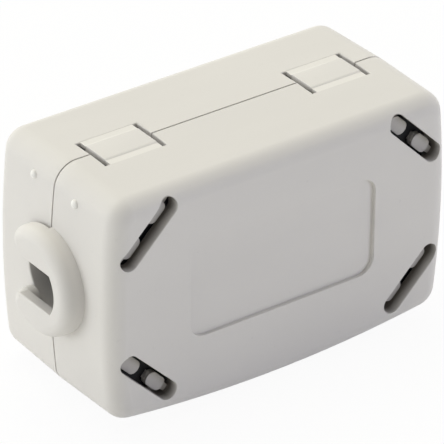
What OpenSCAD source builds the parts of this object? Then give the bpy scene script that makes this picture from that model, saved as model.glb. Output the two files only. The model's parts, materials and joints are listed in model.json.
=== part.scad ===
// Clip-on ferrite bead: two half cores in a two-part snap housing that folds
// open on two hinge straps. X runs along the cable, -Y is the front face, +Z is
// the hinge side. The origin is the middle of the underside, and the two halves
// meet at Y = 0. All sizes are in millimetres.

/* [Ferrite core] */
// Length of the core along the cable
core_l = 35.6; // [30:0.2:60]
// Height of the core, both halves alike
core_h = 20.2; // [18:0.2:34]
// Depth of each half core
core_d = 7.8; // [6.5:0.1:14]
// Radius on the long outer edges of the core
core_edge_r = 1; // [0.4:0.1:2]
// Radius of the cable bore
bore_r = 3.7; // [2.6:0.1:5]
// Air gap left between the two ground faces
core_gap = 0.04; // [0.02:0.01:0.1]
// Play between the core and the walls beside it
core_play = 0.2; // [0.1:0.05:0.4]

/* [Housing] */
// Thickness of the end walls, in their middle
end_wall = 2.05; // [1.7:0.05:3]
// Thickness of the wall on the hinge side
hinge_wall = 1.5; // [1.3:0.1:2.6]
// Thickness of the wall on the latch side, in its middle
latch_wall = 3.2; // [2.8:0.1:4]
// Thickness of the front and rear walls
face_wall = 1.55; // [1.4:0.05:2.6]
// Radius of the four corners, seen from the front
corner_r = 2.5; // [2.4:0.1:3.5]
// How far the middle of each end bulges beyond its corners
end_bow = 0.5; // [0.2:0.1:0.8]
// How far the middle of the latch side bulges beyond its corners
latch_bow = 1.1; // [0.2:0.1:1.4]
// Rounding from the front and rear faces into the sides
edge_r = 1.9; // [1:0.1:1.9]
// Draft of the sides, in from the parting line
draft = 1.3; // [0.5:0.1:1.5]
// Gap along the parting line
parting_gap = 0.15; // [0.1:0.05:0.3]

/* [Front panel] */
// Length of the recessed panel
panel_l = 21.6; // [12:0.2:23]
// Height of the recessed panel
panel_h = 10.65; // [6:0.05:12]
// Corner radius of the panel
panel_r = 1.7; // [0.5:0.1:2.5]
// Depth of the recess
panel_depth = 0.25; // [0.1:0.05:0.5]

/* [Spring slots] */
// Length of each corner slot
slot_l = 8.1; // [6.6:0.1:9]
// Width of each corner slot
slot_w = 2; // [1.7:0.1:2.6]
// Distance of the slot centre in from the core's edges
slot_inset = 2.3; // [2:0.1:4]
// Angle at which a slot cuts its corner
slot_angle = 45; // [35:1:55]
// Width of the spring bar along the middle of the slot
bar_w = 0.7; // [0.6:0.1:1.1]
// Thickness of the spring bar
bar_t = 0.5; // [0.5:0.1:0.9]
// How far the bar's ends run on inside the wall
bar_root = 0.8; // [0.4:0.1:1]
// How far the bar stands in from the wall to press on the core
bar_press = 0.3; // [0.2:0.05:0.4]
// Length of each of the two pads on a bar
pad_l = 2.4; // [1.8:0.1:3]
// Width of a pad
pad_w = 1.2; // [1.1:0.1:1.5]
// Gap between the two pads
pad_gap = 1.6; // [0.8:0.1:1.8]
// Depth of the pads' tops below the face
pad_sink = 1.1; // [0.5:0.1:1.2]

/* [Hinge straps] */
// Distance of a strap's middle in from the end of the housing
strap_inset = 8.1; // [6.5:0.1:12]
// Width of a strap along the cable
strap_w = 5.9; // [4:0.1:8]
// Distance between the strap's two folding lines
strap_span = 4.4; // [3.6:0.1:5.4]
// Thickness of the strap's stiff middle
strap_t = 1; // [0.8:0.1:1.2]
// Open slit at each side of a strap
strap_slit = 0.5; // [0.3:0.1:1]
// Length of the thin film at each folding line
film_l = 0.75; // [0.5:0.05:1]
// Thickness of the film
film_t = 0.35; // [0.25:0.05:0.45]
// Depth of the film's upper side below the strap
film_sink = 0.1; // [0.05:0.05:0.2]
// Running gap round the folding line
film_gap = 0.05; // [0.04:0.01:0.12]

/* [Cable clips] */
// Outer radius of the C-shaped clip
clip_r = 5.5; // [5:0.1:6.2]
// How far a clip stands out from the end wall
clip_t = 2; // [1.6:0.1:3]
// Radius of the clip's seat for the cable
clip_seat_r = 3.4; // [2.4:0.1:3.6]
// Radius of the hollow behind the clip's face
clip_hollow_r = 4.5; // [3.8:0.1:4.6]
// Thickness of the clip's face over that hollow
clip_plate = 1; // [0.8:0.1:1.2]
// Width of the clip's slot, open to the rear
clip_mouth = 4.2; // [3:0.1:4.6]
// Rounding of the clip's outer rim
clip_round = 1.2; // [0.6:0.1:1.4]
// Rounding of the two arm ends
clip_tip_r = 1.3; // [0.9:0.1:1.4]
// Gap between the clip's arms and the rear half's end wall
clip_back_gap = 0.15; // [0.1:0.05:0.3]

/* [Gate marks] */
// Diameter of the ball that makes a pip
pip_d = 1; // [0.9:0.1:1.4]
// How far a pip stands out from the end wall
pip_rise = 0.25; // [0.2:0.05:0.4]
// Distance of a pip from the parting line
pip_y = 3.35; // [2.4:0.05:5]
// Distance of a pip below the hinge side
pip_inset = 2.4; // [2.4:0.1:4]

/* [Latch] */
// Distance of a latch's middle in from the end of the housing
latch_inset = 13.5; // [11:0.5:15]
// Width of a latch tongue
latch_w = 5; // [3:0.1:7]
// How far a tongue reaches past the parting line
latch_reach = 4.2; // [3.6:0.1:4.8]
// Thickness of a tongue
latch_t = 0.9; // [0.7:0.1:1]
// Length of the hook at the tongue's end
hook_l = 1.7; // [1.4:0.1:2]
// How far the hook bites behind the catch
hook_bite = 0.4; // [0.25:0.05:0.5]
// Thickness of the outer lip that the hook catches
lip_t = 1.2; // [1:0.1:1.3]
// Gap round a tongue and its hook
latch_gap = 0.15; // [0.1:0.05:0.25]

/* [Hidden] */

$fn = 64;
bow_fn = 720;
cut = 1;
sink = 0.4;
shell_colour = [0.88, 0.87, 0.83];
core_colour = [0.09, 0.09, 0.1];

sides = [-1, 1];
corners = [for (x = sides, z = sides) [x, z]];

body_l = core_l + 2 * (core_play + end_wall);
axis_z = latch_wall + core_play + core_h / 2;
body_h = axis_z + core_h / 2 + core_play + hinge_wall;
half_d = core_d + bar_press + face_wall;
parting_y = parting_gap / 2;

slot_x = core_l / 2 - slot_inset;
slot_z = core_h / 2 - slot_inset;

strap_x = body_l / 2 - strap_inset;
film_z = body_h - film_sink - film_t / 2;
notch_y = strap_span / 2 + film_t / 2 + film_gap;

latch_x = body_l / 2 - latch_inset;
tongue_z = lip_t + latch_gap;
hook_y = latch_reach - hook_l;

// A flat slot outline with round ends
module stadium(l, w) {
    square([l - w, w], center = true);
    for (x = sides) translate([x * (l - w) / 2, 0]) circle(d = w);
}

// A flat rectangle with round corners
module rounded_rect(l, h, r) {
    square([l - 2 * r, h], center = true);
    square([l, h - 2 * r], center = true);
    for (x = sides, y = sides)
        translate([x * (l / 2 - r), y * (h / 2 - r)]) circle(r);
}

// Outline of a turned rim in (radius, height): straight up from base, then rounded into the top
module rounded_rim(reach, base, top, rim) {
    translate([0, base]) square([reach, top - rim - base]);
    if (reach > rim) translate([0, base]) square([reach - rim, top - base]);
    intersection() {
        translate([reach - rim, top - rim]) circle(rim);
        translate([0, base]) square([reach, top - base]);
    }
}

// Outline of the housing's side in (distance outwards, depth): leaning in by the draft, then
// rounded into the face, and carried on inwards over the length root
module side_outline(root) {
    round_y = half_d - edge_r;
    round_x = corner_r - (round_y - parting_y) * tan(draft) - edge_r / cos(draft);
    polygon([[-root, parting_y], [corner_r, parting_y],
        [round_x + edge_r * cos(draft), round_y + edge_r * sin(draft)],
        [round_x, half_d], [-root, half_d]]);
    intersection() {
        translate([round_x, round_y]) circle(edge_r);
        translate([round_x, round_y]) square(edge_r);
    }
}

// Puts a flat outline drawn in (Y, Z) along X, over the length l
module along_x(l) {
    translate([-l / 2, 0, 0]) rotate([90, 0, 90]) linear_extrude(l) children();
}

// Puts a flat outline drawn in (X, Z) on the plane Y = -y, growing outwards by h
module on_front(y, h) {
    translate([0, -y, 0]) rotate([90, 0, 0]) linear_extrude(h) children();
}

// Carries its children to each corner slot, turned to cut that corner
module at_slots() {
    for (c = corners)
        translate([c[0] * slot_x, 0, axis_z + c[1] * slot_z])
            rotate([0, slot_angle * c[0] * c[1], 0]) children();
}

// Radius of an arc that rises by bow over a chord of twice the half length
function arc_radius(half, bow) = (half * half + bow * bow) / (2 * bow);

// Half the angle of that arc
function arc_sweep(half, bow) = asin(half / arc_radius(half, bow));

// A side bulging by bow along X, between two corners that lie half a side each way along Y
module bowed_side(half, bow) {
    arc_r = arc_radius(half, bow);
    sweep = arc_sweep(half, bow);
    translate([bow - arc_r, 0, 0])
        rotate_extrude(start = -sweep, angle = 2 * sweep, $fn = bow_fn)
            translate([arc_r, 0]) side_outline(2 * bow, $fn = 64);
}

// A round corner that the sides run into
module corner_post() {
    rotate_extrude($fn = bow_fn / 3) side_outline(0, $fn = 64);
}

// The front half's outer form: a block, a straight hinge side, four corner posts and three bowed sides
module outer_half() {
    x = body_l / 2 - end_bow - corner_r;
    low = latch_bow + corner_r;
    high = body_h - corner_r;
    end_half = (high - low) / 2;
    rotate([90, 0, 0]) {
        translate([-x, low, parting_y]) cube([2 * x, high - low, half_d - parting_y]);
        translate([-x, high, 0]) rotate([90, 0, 90]) linear_extrude(2 * x) side_outline(sink);
        translate([0, low, 0]) rotate([0, 0, -90]) bowed_side(x, latch_bow);
        for (turn = [0, 180])
            translate([0, low + end_half, 0]) rotate([0, 0, turn])
                translate([x, 0, 0]) bowed_side(end_half, end_bow);
        for (side = sides, z = [low, high]) translate([side * x, z, 0]) corner_post();
    }
}

// Outline in (Y, Z) of a block that fills one half, with its outer long edges rounded
module half_block(h, d, r) {
    translate([-d + r, -h / 2]) square([d - r, h]);
    translate([-d, r - h / 2]) square([d, h - 2 * r]);
    for (z = sides) translate([-d + r, z * (h / 2 - r)]) circle(r);
}

// Room for one half core
module core_pocket() {
    translate([0, 0, axis_z]) along_x(core_l + 2 * core_play)
        union() {
            half_block(core_h + 2 * core_play, core_d + bar_press, core_edge_r);
            translate([-cut, -core_h / 2 - core_play]) square([2 * cut, core_h + 2 * core_play]);
        }
}

// The straight way for the cable
module cable_way(r) {
    translate([0, 0, axis_z]) rotate([0, 90, 0])
        cylinder(r = r, h = body_l + 2 * (clip_t + cut), center = true);
}

// Openings in the hinge side that the straps lie in
module strap_notches() {
    for (x = sides * strap_x)
        translate([x - strap_w / 2 - strap_slit, -notch_y, body_h - hinge_wall - core_play])
            cube([strap_w + 2 * strap_slit, 2 * notch_y, hinge_wall + core_play + cut]);
}

// A spring bar with its two pads, laid along one slot
module spring_bar() {
    on_front(core_d, bar_t) stadium(slot_l + 2 * bar_root, bar_w);
    for (x = sides * (pad_gap + pad_l) / 2)
        translate([x, 0, 0]) on_front(core_d, half_d - core_d - pad_sink) stadium(pad_l, pad_w);
}

// A small gate mark near the top of the left end wall
module gate_pip() {
    translate([end_bow - body_l / 2 - pip_rise + pip_d / 2, -pip_y, body_h - pip_inset]) sphere(d = pip_d);
}

// What both halves of the housing have
module housing_half() {
    difference() {
        outer_half();
        core_pocket();
        cable_way(bore_r);
        at_slots() on_front(half_d - face_wall - sink, face_wall + sink + cut) stadium(slot_l, slot_w);
        strap_notches();
    }
    at_slots() spring_bar();
    gate_pip();
}

// A clip on the +X end: a hollow round cap with a slot for the cable, open to the rear
module cable_clip() {
    arm_z = clip_mouth / 2 + clip_tip_r;
    arm_y = sqrt(pow(clip_r - clip_tip_r, 2) - pow(arm_z, 2));
    spread = 2 * clip_r / norm([arm_y, arm_z]);
    translate([body_l / 2, 0, axis_z]) rotate([90, 0, 90]) {
        difference() {
            rotate_extrude() rounded_rim(clip_r, -sink, clip_t, clip_round);
            translate([0, 0, -sink - cut]) cylinder(r = clip_hollow_r, h = sink + cut + clip_t - clip_plate);
            translate([-parting_y, -clip_r, -sink])
                cube([2 * clip_r, 2 * clip_r, sink + clip_back_gap]);
            translate([0, 0, -cut]) linear_extrude(clip_t + 2 * cut) {
                intersection() {
                    circle(clip_seat_r);
                    square([2 * clip_seat_r, clip_mouth], center = true);
                }
                translate([0, -clip_mouth / 2]) square([2 * clip_r, clip_mouth]);
                for (z = sides)
                    polygon([[arm_y, 0], [2 * clip_r, 0], spread * [arm_y, z * arm_z], [arm_y, z * arm_z]]);
            }
        }
        for (z = sides)
            translate([arm_y, z * arm_z, clip_back_gap])
                rotate_extrude() rounded_rim(clip_tip_r, 0, clip_t - clip_back_gap, clip_round);
    }
}

// Tongues with hooks that snap into the rear half
module latch_tongues() {
    for (x = sides * latch_x)
        translate([x, 0, 0]) along_x(latch_w)
            polygon([[-sink, tongue_z], [hook_y, tongue_z], [hook_y, lip_t - hook_bite],
                [hook_y + hook_l / 3, lip_t - hook_bite], [latch_reach, tongue_z + latch_t / 2],
                [latch_reach, tongue_z + latch_t], [-sink, tongue_z + latch_t]]);
}

// Room for the tongues, and the windows that their hooks look out of
module latch_catches() {
    w = latch_w + 2 * latch_gap;
    for (x = sides * latch_x) translate([x - w / 2, 0, 0]) {
        translate([0, -cut, lip_t]) cube([w, latch_reach + latch_gap + cut, latch_wall - lip_t + cut / 2]);
        translate([0, hook_y - latch_gap, -cut]) cube([w, hook_l + 2 * latch_gap, lip_t + 2 * cut]);
    }
}

module rear_shell() {
    color(shell_colour) difference() {
        mirror([0, 1, 0]) housing_half();
        latch_catches();
    }
}

module front_shell() {
    color(shell_colour) {
        difference() {
            housing_half();
            translate([0, 0, axis_z]) on_front(half_d - panel_depth, panel_depth + cut)
                rounded_rect(panel_l, panel_h, panel_r);
        }
        for (end = [0, 1]) mirror([end, 0, 0]) cable_clip();
        latch_tongues();
    }
}

// One strap: a stiff middle with a thin film that ends in a round bead on each folding line
module hinge_strap(x) {
    plate_y = strap_span / 2 - film_l;
    color(shell_colour) translate([x, 0, 0]) along_x(strap_w) {
        translate([-plate_y, body_h - strap_t]) square([2 * plate_y, strap_t]);
        translate([0, film_z]) stadium(strap_span + film_t, film_t);
    }
}

module left_hinge_strap() { hinge_strap(-strap_x); }

module right_hinge_strap() { hinge_strap(strap_x); }

// Half of the ferrite block, with half of the bore along its ground face
module front_core_half() {
    color(core_colour) difference() {
        translate([0, -core_gap / 2, axis_z]) along_x(core_l)
            half_block(core_h, core_d - core_gap / 2, core_edge_r);
        cable_way(bore_r);
    }
}

module rear_core_half() { mirror([0, 1, 0]) front_core_half(); }

rear_shell();
front_shell();
left_hinge_strap();
right_hinge_strap();
rear_core_half();
front_core_half();
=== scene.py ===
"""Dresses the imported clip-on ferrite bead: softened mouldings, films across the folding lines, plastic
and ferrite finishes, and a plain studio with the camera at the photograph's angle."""

import json
import math

import bmesh
import bpy
from mathutils import Matrix, Vector


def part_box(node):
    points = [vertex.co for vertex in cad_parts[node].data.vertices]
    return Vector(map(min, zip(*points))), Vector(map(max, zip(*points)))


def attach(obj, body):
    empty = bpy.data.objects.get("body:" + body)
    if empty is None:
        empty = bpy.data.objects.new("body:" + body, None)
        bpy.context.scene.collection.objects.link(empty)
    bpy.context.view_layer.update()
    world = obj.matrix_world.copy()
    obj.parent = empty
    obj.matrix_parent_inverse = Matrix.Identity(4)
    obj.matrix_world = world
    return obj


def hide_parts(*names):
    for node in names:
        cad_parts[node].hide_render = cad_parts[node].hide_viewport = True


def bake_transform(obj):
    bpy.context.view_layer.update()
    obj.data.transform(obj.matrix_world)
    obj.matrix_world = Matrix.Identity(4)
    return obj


MM = 0.001

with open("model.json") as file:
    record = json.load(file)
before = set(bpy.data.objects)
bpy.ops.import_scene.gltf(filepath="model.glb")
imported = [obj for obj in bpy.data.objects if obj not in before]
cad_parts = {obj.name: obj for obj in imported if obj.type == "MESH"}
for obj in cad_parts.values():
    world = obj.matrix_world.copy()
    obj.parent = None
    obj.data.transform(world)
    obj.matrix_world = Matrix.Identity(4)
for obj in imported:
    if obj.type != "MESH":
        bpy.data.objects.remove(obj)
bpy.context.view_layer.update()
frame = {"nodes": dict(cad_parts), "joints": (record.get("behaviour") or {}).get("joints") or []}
scene = bpy.context.scene
scene.view_settings.view_transform = "Standard"


# Softened mouldings

WELD = 0.002 * MM
NEAR = 0.02 * MM
FLAT_ANGLE = math.radians(0.4)
SHARP_ANGLE = math.radians(38)
SMOOTH_ANGLE = math.radians(50)
SHELL_CORNER = 0.16 * MM
CORE_CORNER = 0.12 * MM
CORNER_SEGMENTS = 3

# The cable's axis above the floor, the sides of the parting plane, and the outer faces' distance from it
AXIS_Z = 13.5 * MM
REAR, FRONT = 1, -1
FACE_Y = 9.65 * MM
FACE_TOLERANCE = 0.0005 * MM

# Edges at the parting plane get thin corners, and those behind the clips' plates get none
PARTING_BAND = 0.2 * MM
PARTING_SHARE = 0.3
CLIP_HOLLOW = (20.1 * MM, 21.2 * MM)

# Corner slots: their middles from the axis, and the bars and pads in them
SLOT_X, SLOT_Z = 15.5 * MM, 7.8 * MM
SLOT_TURN = math.radians(45)
SLOT_HALF_L, SLOT_HALF_W = 4.05 * MM, 1 * MM
RIM_SHARE = 0.6
BAR_SHARE = 0.35
BAR_Y = (7.6 * MM, 8.45 * MM)
BAR_HALF_W = 0.5 * MM
PAD_TOP = 8.55 * MM
PAD_SPAN = (0.78 * MM, 3.22 * MM)
PAD_HALF_W = 0.6 * MM
PAD_WIDEN = 1.22

# The recessed panel on the front face
PANEL_HALF_L, PANEL_HALF_H = 10.9 * MM, 5.4 * MM
PANEL_FLOOR = 9.4 * MM
PANEL_SINK = 0.15 * MM
PANEL_SHARE = 0.4


def new_object(name, mesh):
    obj = bpy.data.objects.new(name, mesh)
    scene.collection.objects.link(obj)
    return obj


def bake_modifiers(obj):
    """Puts the result of the object's modifiers into its mesh."""
    graph = bpy.context.evaluated_depsgraph_get()
    mesh = bpy.data.meshes.new_from_object(obj.evaluated_get(graph))
    obj.modifiers.clear()
    obj.data = mesh


def shade(mesh):
    for polygon in mesh.polygons:
        polygon.use_smooth = True
    mesh.set_sharp_from_angle(angle=SMOOTH_ANGLE)


def in_slot(point):
    """Where a point lies in its corner slot: along it and across it, both from the slot's middle."""
    x, z = abs(point.x) - SLOT_X, abs(point.z - AXIS_Z) - SLOT_Z
    return (x - z) / math.sqrt(2), (x + z) / math.sqrt(2)


def on_bar(point):
    """Whether a point belongs to a spring bar or its pads."""
    along, across = in_slot(point)
    deep = BAR_Y[0] < abs(point.y) < PAD_TOP + NEAR
    return deep and abs(along) < SLOT_HALF_L - NEAR and abs(across) < PAD_WIDEN * PAD_HALF_W + NEAR


def on_rim(point):
    """Whether a point belongs to a slot's opening."""
    along, across = in_slot(point)
    inside = abs(along) < SLOT_HALF_L + NEAR and abs(across) < SLOT_HALF_W + NEAR
    return inside and abs(point.y) > PAD_TOP + NEAR


def widen_pads(bm):
    """Makes the pads on the spring bars wider across the slot."""
    for vert in bm.verts:
        along, across = in_slot(vert.co)
        if on_bar(vert.co) and PAD_SPAN[0] < abs(along) < PAD_SPAN[1]:
            shift = (PAD_WIDEN - 1) * across / math.sqrt(2)
            vert.co.x += shift if vert.co.x > 0 else -shift
            vert.co.z += shift if vert.co.z > AXIS_Z else -shift


def bar_cutter(side):
    """Blocks over the middles of the four spring bars on one face."""
    bm = bmesh.new()
    for end in (-1, 1):
        for level in (-1, 1):
            middle = Vector((end * SLOT_X, side * sum(BAR_Y) / 2, AXIS_Z + level * SLOT_Z))
            turn = Matrix.Rotation(end * level * SLOT_TURN, 4, "Y")
            size = Matrix.Diagonal((2 * PAD_SPAN[0], BAR_Y[1] - BAR_Y[0], 2 * BAR_HALF_W, 1))
            bmesh.ops.create_cube(bm, size=1, matrix=Matrix.Translation(middle) @ turn @ size)
    mesh = bpy.data.meshes.new("bar_cutter")
    bm.to_mesh(mesh)
    bm.free()
    return new_object("bar_cutter", mesh)


def part_bars(obj, side):
    """Parts each spring bar between its two pads."""
    cutter = bar_cutter(side)
    cut = obj.modifiers.new("part_bars", "BOOLEAN")
    cut.operation = "DIFFERENCE"
    cut.solver = "EXACT"
    cut.object = cutter
    bake_modifiers(obj)
    bpy.data.meshes.remove(cutter.data)


def on_panel(point):
    """Whether a point lies within the recessed panel's outline."""
    return abs(point.x) < PANEL_HALF_L and abs(point.z - AXIS_Z) < PANEL_HALF_H


def sink_panel(bm):
    """Gives the recessed panel a little more depth."""
    for vert in bm.verts:
        if on_panel(vert.co) and abs(vert.co.y + PANEL_FLOOR) < NEAR:
            vert.co.y += PANEL_SINK


def shell_share(edge):
    """How much of the corner width an edge of a shell gets."""
    points = [v.co for v in edge.verts]
    if all(CLIP_HOLLOW[0] < abs(p.x) < CLIP_HOLLOW[1] for p in points):
        return 0
    if all(abs(p.y) < PARTING_BAND for p in points):
        return PARTING_SHARE
    if all(on_bar(p) for p in points):
        return BAR_SHARE
    if all(on_rim(p) for p in points):
        on_flat = all(abs(p.y) > FACE_Y - FACE_TOLERANCE for p in points)
        return RIM_SHARE if on_flat else 0
    if all(on_panel(p) and abs(p.y) > PANEL_FLOOR - PANEL_SINK - NEAR for p in points):
        return PANEL_SHARE
    return 1


def core_share(edge):
    """A core's edges all get the whole corner width."""
    return 1


def softened(node, name, width, share, face=0):
    """A copy of a CAD node whose outer corners are rounded over, as a mould leaves them. An edge
    gets its share of the width. The face of a shell is on the side REAR or FRONT; a core has none."""
    mesh = frame["nodes"][node].data.copy()
    mesh.materials.clear()
    bm = bmesh.new()
    bm.from_mesh(mesh)
    bmesh.ops.remove_doubles(bm, verts=bm.verts, dist=WELD)
    bmesh.ops.dissolve_limit(bm, angle_limit=FLAT_ANGLE, verts=bm.verts, edges=bm.edges)
    if face:
        widen_pads(bm)
        sink_panel(bm)
    weight = bm.edges.layers.float.new("bevel_weight_edge")
    for edge in bm.edges:
        if len(edge.link_faces) != 2 or not edge.is_convex:
            continue
        if edge.calc_face_angle() >= SHARP_ANGLE:
            edge[weight] = share(edge)
    bm.to_mesh(mesh)
    bm.free()
    if mesh.has_custom_normals:
        mesh.attributes.remove(mesh.attributes["custom_normal"])
    obj = new_object(name, mesh)
    bevel = obj.modifiers.new("corners", "BEVEL")
    bevel.limit_method = "WEIGHT"
    bevel.width = width
    bevel.segments = CORNER_SEGMENTS
    bevel.use_clamp_overlap = False
    bake_modifiers(obj)
    if face:
        part_bars(obj, face)
    shade(obj.data)
    weighted = obj.modifiers.new("normals", "WEIGHTED_NORMAL")
    weighted.keep_sharp = True
    bake_modifiers(obj)
    return obj


def moulding(node, name, body, width, share, face=0):
    obj = softened(node, name, width, share, face)
    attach(obj, body)
    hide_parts(node)
    return obj


shells = [
    moulding("rear_shell", "rear_moulding", "rear_half", SHELL_CORNER, shell_share, REAR),
    moulding("front_shell", "front_moulding", "front_half", SHELL_CORNER, shell_share, FRONT),
]
cores = [
    moulding("rear_core_half", "rear_ferrite", "rear_half", CORE_CORNER, core_share),
    moulding("front_core_half", "front_ferrite", "front_half", CORE_CORNER, core_share),
]


# Hinge straps: a stiff plate on the strap body, and a film across each folding line

STRAP_T = 1 * MM
FILM_L = 0.75 * MM
FILM_T = 0.35 * MM
RAMP_L = 0.25 * MM
FILM_OVERLAP = 0.12 * MM
NOTCH_GAP = 0.225 * MM
FILM_STEPS = 14
PLATE_CORNER = 0.07 * MM
PLATE_CORNER_ANGLE = math.radians(15)
PLATE_CORNER_SEGMENTS = 2

folds = {j["name"]: Vector(j["pos_m"]) for j in frame["joints"]}


def prism(name, outline, x_low, x_high):
    """A closed solid: an outline in (Y, Z), run along X."""
    bm = bmesh.new()
    ends = [[bm.verts.new((x, y, z)) for y, z in outline] for x in (x_low, x_high)]
    bm.faces.new(ends[0][::-1])
    bm.faces.new(ends[1])
    count = len(outline)
    for i in range(count):
        k = (i + 1) % count
        bm.faces.new((ends[0][i], ends[0][k], ends[1][k], ends[1][i]))
    bmesh.ops.recalc_face_normals(bm, faces=bm.faces)
    mesh = bpy.data.meshes.new(name)
    bm.to_mesh(mesh)
    bm.free()
    return new_object(name, mesh)


def strap_plate(name, low, high, fold_y, film_z):
    """The stiff middle of a strap, thinned at both ends to meet its films."""
    edge = fold_y - FILM_L
    tip = edge + RAMP_L
    half = FILM_T / 2
    right = [
        (edge, high.z - STRAP_T),
        (tip, film_z - half),
        (tip, film_z + half),
        (edge, high.z),
    ]
    left = [(-y, z) for y, z in reversed(right)]
    obj = prism(name, right + left, low.x, high.x)
    bevel = obj.modifiers.new("corners", "BEVEL")
    bevel.limit_method = "ANGLE"
    bevel.angle_limit = PLATE_CORNER_ANGLE
    bevel.width = PLATE_CORNER
    bevel.segments = PLATE_CORNER_SEGMENTS
    bake_modifiers(obj)
    shade(obj.data)
    return obj


def film(name, low, high, fold_y, film_z):
    """A thin strip across one folding line, sunk a little into the plate and into the shell."""
    side = 1 if fold_y > 0 else -1
    inner = abs(fold_y) - FILM_L + RAMP_L - FILM_OVERLAP
    outer = abs(fold_y) + NOTCH_GAP + FILM_OVERLAP
    ys = [inner + (outer - inner) * i / FILM_STEPS for i in range(FILM_STEPS + 1)]
    top = [(side * y, film_z + FILM_T / 2) for y in ys]
    bottom = [(side * y, film_z - FILM_T / 2) for y in reversed(ys)]
    obj = prism(name, top + bottom, low.x, high.x)
    shade(obj.data)
    return obj


rear, front = folds["strap_fold"], folds["front_fold"]
plates, films = [], []
for end in ("left", "right"):
    node = end + "_hinge_strap"
    low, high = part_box(node)
    plate = strap_plate(end + "_strap_plate", low, high, rear.y, rear.z)
    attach(plate, "hinge_straps")
    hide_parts(node)
    plates.append(plate)
    bends = (("rear_film", rear, "rear_half", "hinge_straps"),
             ("front_film", front, "hinge_straps", "front_half"))
    for word, fold, first, second in bends:
        strip = film(end + "_" + word, low, high, fold.y, fold.z)
        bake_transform(strip)
        films.append(strip)


# Materials

HOUSING_TONES = (0.74, 0.72, 0.695), (0.72, 0.7, 0.677)
STRAP_TONES = (0.75, 0.73, 0.705), (0.73, 0.71, 0.687)
# The films' tones are paler than the straps' as a painted highlight
FILM_HIGHLIGHT_TONES = (0.81, 0.79, 0.76), (0.795, 0.775, 0.745)
FERRITE_TONES = (0.006, 0.006, 0.007), (0.018, 0.018, 0.02)
GROUND_TONES = (0.03, 0.03, 0.033), (0.055, 0.055, 0.06)

# The painted shade deep in the slots: its depths below the faces, and its fades outside and inside the
# slots' walls
SLOT_PAINTED_SHADE_TONE = (0.19, 0.172, 0.155)
PAINTED_SHADE_DEPTH = (0.1 * MM, 1.1 * MM)
PAINTED_SHADE_OUTER_FADE = (0.03 * MM, 0.08 * MM)
PAINTED_SHADE_WALL_FADE = (0.2 * MM, 0.1 * MM)
BAR_PAINTED_SHADE = 0.4

# The painted highlight on the two gate marks at the left end: its tone, its middles and its radii
GATE_HIGHLIGHT_TONE = (0.89, 0.88, 0.86)
GATE_Y, GATE_Z = 3.35 * MM, 22.9 * MM
GATE_R = (0.36 * MM, 0.48 * MM)

# How far from the parting plane the ferrite still shows its ground faces
GROUND_FADE = (0.03 * MM, 0.06 * MM)


class Maker:
    """Adds nodes to one material."""

    def __init__(self, name):
        self.material = bpy.data.materials.new(name)
        self.material.use_nodes = True
        self.tree = self.material.node_tree
        self.shader = self.tree.nodes["Principled BSDF"]
        self.coords = self.tree.nodes.new("ShaderNodeTexCoord").outputs["Object"]

    def link(self, a, b):
        self.tree.links.new(a, b)

    def noise(self, scale, detail=3, roughness=0.5, stretch=None):
        node = self.tree.nodes.new("ShaderNodeTexNoise")
        node.inputs["Scale"].default_value = scale
        node.inputs["Detail"].default_value = detail
        node.inputs["Roughness"].default_value = roughness
        if stretch:
            place = self.tree.nodes.new("ShaderNodeMapping")
            place.inputs["Scale"].default_value = stretch
            self.link(self.coords, place.inputs["Vector"])
            self.link(place.outputs["Vector"], node.inputs["Vector"])
        else:
            self.link(self.coords, node.inputs["Vector"])
        return node.outputs["Fac"]

    def ramp(self, value, low, high, start, end):
        """Maps value from low..high to start..end."""
        node = self.tree.nodes.new("ShaderNodeMapRange")
        for key, number in (("From Min", low), ("From Max", high), ("To Min", start), ("To Max", end)):
            node.inputs[key].default_value = number
        self.link(value, node.inputs["Value"])
        return node.outputs["Result"]

    def calc(self, operation, first, second=None):
        """A sum on one or two values; each is a number or another node's output."""
        node = self.tree.nodes.new("ShaderNodeMath")
        node.operation = operation
        for socket, value in zip(node.inputs, (first, second)):
            if isinstance(value, (int, float)):
                socket.default_value = value
            elif value is not None:
                self.link(value, socket)
        return node.outputs["Value"]

    def axes(self):
        node = self.tree.nodes.new("ShaderNodeSeparateXYZ")
        self.link(self.coords, node.inputs["Vector"])
        return node.outputs["X"], node.outputs["Y"], node.outputs["Z"]

    def mix(self, factor, first, second):
        """Mixes two colours; each is a colour or another node's output."""
        node = self.tree.nodes.new("ShaderNodeMix")
        node.data_type = "RGBA"
        self.link(factor, node.inputs["Factor"])
        for key, colour in (("A", first), ("B", second)):
            socket = [s for s in node.inputs if s.name == key and s.type == "RGBA"][0]
            if isinstance(colour, tuple):
                socket.default_value = (*colour, 1)
            else:
                self.link(colour, socket)
        return [s for s in node.outputs if s.type == "RGBA"][0]

    def fade(self, factor, first, second):
        """Mixes two values; each is another node's output."""
        node = self.tree.nodes.new("ShaderNodeMix")
        sockets = [s for s in node.inputs if s.type == "VALUE"]
        for socket, value in zip(sockets, (factor, first, second)):
            self.link(value, socket)
        return [s for s in node.outputs if s.type == "VALUE"][0]

    def bump(self, layers):
        """Stacks bump layers of (height, strength, distance)."""
        normal = None
        for height, strength, distance in layers:
            node = self.tree.nodes.new("ShaderNodeBump")
            node.inputs["Strength"].default_value = strength
            node.inputs["Distance"].default_value = distance
            self.link(height, node.inputs["Height"])
            if normal:
                self.link(normal, node.inputs["Normal"])
            normal = node.outputs["Normal"]
        self.link(normal, self.shader.inputs["Normal"])

    def give(self, objects):
        for obj in objects:
            obj.data.materials.clear()
            obj.data.materials.append(self.material)


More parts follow.
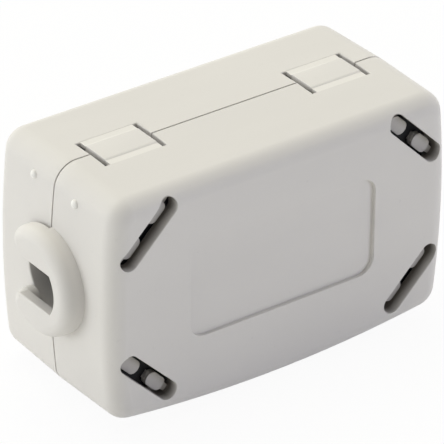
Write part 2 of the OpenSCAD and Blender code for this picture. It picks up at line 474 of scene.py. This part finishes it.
def slot_painted_shade(m):
    """Painted shade: rises from 0 at the faces to 1 deep in the corner slots, less on the bars than on the
    walls.
    """
    x, y, z = m.axes()
    out_x = m.calc("SUBTRACT", m.calc("ABSOLUTE", x), SLOT_X)
    out_z = m.calc("SUBTRACT", m.calc("ABSOLUTE", m.calc("SUBTRACT", z, AXIS_Z)), SLOT_Z)
    along = m.calc("ABSOLUTE", m.calc("DIVIDE", m.calc("SUBTRACT", out_x, out_z), math.sqrt(2)))
    across = m.calc("ABSOLUTE", m.calc("DIVIDE", m.calc("ADD", out_x, out_z), math.sqrt(2)))
    past = m.calc("MAXIMUM", m.calc("SUBTRACT", along, SLOT_HALF_L - SLOT_HALF_W), 0)
    off = m.calc("SQRT", m.calc("ADD", m.calc("MULTIPLY", past, past), m.calc("MULTIPLY", across, across)))
    inside = m.ramp(off, SLOT_HALF_W + PAINTED_SHADE_OUTER_FADE[0], SLOT_HALF_W + PAINTED_SHADE_OUTER_FADE[1], 1, 0)
    depth = m.ramp(m.calc("ABSOLUTE", y), FACE_Y - PAINTED_SHADE_DEPTH[0], FACE_Y - PAINTED_SHADE_DEPTH[1], 0, 1)
    wall = m.ramp(off, SLOT_HALF_W - PAINTED_SHADE_WALL_FADE[0], SLOT_HALF_W - PAINTED_SHADE_WALL_FADE[1], BAR_PAINTED_SHADE, 1)
    return m.calc("MULTIPLY", m.calc("MULTIPLY", inside, depth), wall)


def gate_painted_highlight(m):
    """Painted highlight: 1 on the two gate marks at the left end, and 0 elsewhere."""
    x, y, z = m.axes()
    out_y = m.calc("SUBTRACT", m.calc("ABSOLUTE", y), GATE_Y)
    out_z = m.calc("SUBTRACT", z, GATE_Z)
    off = m.calc("SQRT", m.calc("ADD", m.calc("MULTIPLY", out_y, out_y), m.calc("MULTIPLY", out_z, out_z)))
    at_end = m.calc("LESS_THAN", x, -SLOT_X)
    return m.calc("MULTIPLY", at_end, m.ramp(off, *GATE_R, 1, 0))


def plastic(name, tones, shell=False):
    """Fine matt moulded nylon: a spark-eroded grain, slight flow tones and faint rubbed specks.
    A shell also has painted shade in its slots and a painted highlight on its gate marks."""
    m = Maker(name)
    tone, shade_tone = tones
    flow = m.noise(140, detail=2, stretch=(0.35, 1, 1))
    grain = m.noise(5200, detail=2, roughness=0.6)
    fleck = m.ramp(m.noise(1500, detail=3, roughness=0.7), 0.66, 0.74, 0, 0.5)
    base = m.mix(m.ramp(flow, 0.3, 0.7, 0, 1), tone, shade_tone)
    base = m.mix(fleck, base, tuple(0.93 * c for c in shade_tone))
    if shell:
        # Painted shade deep in the corner slots
        base = m.mix(slot_painted_shade(m), base, SLOT_PAINTED_SHADE_TONE)
        # A painted highlight on the gate marks
        base = m.mix(gate_painted_highlight(m), base, GATE_HIGHLIGHT_TONE)
    m.link(base, m.shader.inputs["Base Color"])
    m.link(m.ramp(grain, 0.3, 0.7, 0.5, 0.66), m.shader.inputs["Roughness"])
    m.shader.inputs["IOR"].default_value = 1.47
    m.shader.inputs["Specular IOR Level"].default_value = 0.4
    m.bump([(grain, 0.22, 0.02 * MM), (flow, 0.1, 0.05 * MM)])
    return m


def ferrite(name):
    """Black sintered ferrite: grain, small pits, and grinding lines along the faces that meet."""
    m = Maker(name)
    grain = m.noise(3800, detail=4, roughness=0.65)
    pits = m.ramp(m.noise(1100, detail=2), 0.3, 0.42, 0, 1)
    lines = m.noise(900, detail=2, stretch=(0.03, 1, 6))
    ground = m.ramp(m.calc("ABSOLUTE", m.axes()[1]), *GROUND_FADE, 1, 0)
    base = m.mix(m.ramp(grain, 0.35, 0.7, 0, 1), *FERRITE_TONES)
    lined = m.mix(m.ramp(lines, 0.35, 0.65, 0, 1), *GROUND_TONES)
    m.link(m.mix(ground, base, lined), m.shader.inputs["Base Color"])
    fired_rough = m.ramp(grain, 0.3, 0.7, 0.45, 0.65)
    ground_rough = m.ramp(lines, 0.3, 0.7, 0.26, 0.4)
    m.link(m.fade(ground, fired_rough, ground_rough), m.shader.inputs["Roughness"])
    m.shader.inputs["Specular IOR Level"].default_value = 0.2
    m.bump([(grain, 0.3, 0.03 * MM), (pits, 0.35, 0.05 * MM), (lines, 0.08, 0.02 * MM)])
    return m


plastic("housing_plastic", HOUSING_TONES, shell=True).give(shells)
plastic("strap_plastic", STRAP_TONES).give(plates)
# The films' paler tones are a painted highlight
plastic("film_plastic", FILM_HIGHLIGHT_TONES).give(films)
ferrite("sintered_ferrite").give(cores)


# Camera, at the photograph's place

CAMERA_AZ, CAMERA_EL, CAMERA_ROLL = math.radians(-36.3836), math.radians(30.7606), math.radians(0.7182)
CAMERA_DISTANCE = 414.04 * MM
CAMERA_SENSOR, CAMERA_LENS = 36, 350.43
CAMERA_SHIFT = (-0.00416, -0.0164)
CAMERA_CLIP = (0.01, 20)
LOOK_AT = Vector((0, 0, AXIS_Z))

back = Vector((
    math.sin(CAMERA_AZ) * math.cos(CAMERA_EL),
    -math.cos(CAMERA_AZ) * math.cos(CAMERA_EL),
    math.sin(CAMERA_EL),
))
flat_right = Vector((0, 0, 1)).cross(back).normalized()
flat_up = back.cross(flat_right)
right = math.cos(CAMERA_ROLL) * flat_right + math.sin(CAMERA_ROLL) * flat_up
up = math.cos(CAMERA_ROLL) * flat_up - math.sin(CAMERA_ROLL) * flat_right

camera = bpy.data.objects.new("camera", bpy.data.cameras.new("camera"))
scene.collection.objects.link(camera)
turn = Matrix((right, up, back)).transposed().to_4x4()
camera.matrix_world = Matrix.Translation(LOOK_AT + CAMERA_DISTANCE * back) @ turn
camera.data.sensor_width = CAMERA_SENSOR
camera.data.lens = CAMERA_LENS
camera.data.shift_x, camera.data.shift_y = CAMERA_SHIFT
camera.data.clip_start, camera.data.clip_end = CAMERA_CLIP
scene.camera = camera


# Studio: a white floor, a soft sky that is dimmer in front, and three soft boxes

FLOOR_HALF = 3
FLOOR_WHITE = 0.94
FLOOR_SEEN_GLOW = 0.94

floor_mesh = bpy.data.meshes.new("floor")
floor_mesh.from_pydata(
    [(x * FLOOR_HALF, y * FLOOR_HALF, 0) for x, y in ((-1, -1), (1, -1), (1, 1), (-1, 1))],
    [], [(0, 1, 2, 3)],
)
floor = new_object("floor", floor_mesh)


def seen_plainly(tree):
    """1 where the camera or a mirror-like bounce sees the surface, and 0 for its light on the object."""
    path = tree.nodes.new("ShaderNodeLightPath")
    total = path.outputs["Is Camera Ray"]
    for key in ("Is Glossy Ray", "Is Transmission Ray"):
        node = tree.nodes.new("ShaderNodeMath")
        node.operation = "MAXIMUM"
        tree.links.new(total, node.inputs[0])
        tree.links.new(path.outputs[key], node.inputs[1])
        total = node.outputs["Value"]
    return total


def floor_material():
    """White paint that keeps some of the object's shadow, and looks near white to the camera."""
    material = bpy.data.materials.new("pale_floor")
    material.use_nodes = True
    tree = material.node_tree
    tree.nodes.clear()
    out = tree.nodes.new("ShaderNodeOutputMaterial")
    paint = tree.nodes.new("ShaderNodeBsdfDiffuse")
    paint.inputs["Color"].default_value = (FLOOR_WHITE, FLOOR_WHITE, FLOOR_WHITE, 1)
    glow = tree.nodes.new("ShaderNodeEmission")
    share = tree.nodes.new("ShaderNodeMath")
    share.operation = "MULTIPLY"
    tree.links.new(seen_plainly(tree), share.inputs[0])
    share.inputs[1].default_value = FLOOR_SEEN_GLOW
    mix = tree.nodes.new("ShaderNodeMixShader")
    tree.links.new(share.outputs["Value"], mix.inputs["Fac"])
    tree.links.new(paint.outputs["BSDF"], mix.inputs[1])
    tree.links.new(glow.outputs["Emission"], mix.inputs[2])
    tree.links.new(mix.outputs["Shader"], out.inputs["Surface"])
    return material


floor.data.materials.append(floor_material())

SKY_COLOUR = (1, 1, 0.99, 1)
SKY_STRENGTH = 0.94
SKY_FRONT_STRENGTH = 0.16
SKY_FADE = (-0.6, 0.2)


def studio_sky():
    """Plain white where it is seen; its light on the object fades towards the front."""
    world = bpy.data.worlds.new("studio")
    world.use_nodes = True
    tree = world.node_tree
    sky = tree.nodes["Background"]
    sky.inputs["Color"].default_value = SKY_COLOUR
    coords = tree.nodes.new("ShaderNodeTexCoord")
    way = tree.nodes.new("ShaderNodeSeparateXYZ")
    tree.links.new(coords.outputs["Generated"], way.inputs["Vector"])
    dome = tree.nodes.new("ShaderNodeMapRange")
    dome.inputs["From Min"].default_value, dome.inputs["From Max"].default_value = SKY_FADE
    dome.inputs["To Min"].default_value = SKY_FRONT_STRENGTH
    dome.inputs["To Max"].default_value = SKY_STRENGTH
    tree.links.new(way.outputs["Y"], dome.inputs["Value"])
    level = tree.nodes.new("ShaderNodeMapRange")
    tree.links.new(dome.outputs["Result"], level.inputs["To Min"])
    level.inputs["To Max"].default_value = 1
    tree.links.new(seen_plainly(tree), level.inputs["Value"])
    tree.links.new(level.outputs["Result"], sky.inputs["Strength"])
    return world


scene.world = studio_sky()


def soft_box(name, place, size, power, colour):
    """A square lamp, turned to the object."""
    light = bpy.data.lights.new(name, "AREA")
    light.shape = "SQUARE"
    light.size = size
    light.energy = power
    light.color = colour
    obj = bpy.data.objects.new(name, light)
    scene.collection.objects.link(obj)
    obj.location = place
    obj.rotation_euler = (LOOK_AT - Vector(place)).to_track_quat("-Z", "Y").to_euler()


soft_box("key", (0.05, 0.25, 0.75), size=0.5, power=2.2, colour=(1, 0.97, 0.76))
soft_box("end_fill", (-0.7, 0.3, 0.06), size=0.4, power=2, colour=(0.96, 0.99, 1))
soft_box("front_fill", (0.5, -0.65, 0.04), size=0.25, power=2.15, colour=(0.78, 0.8, 1))
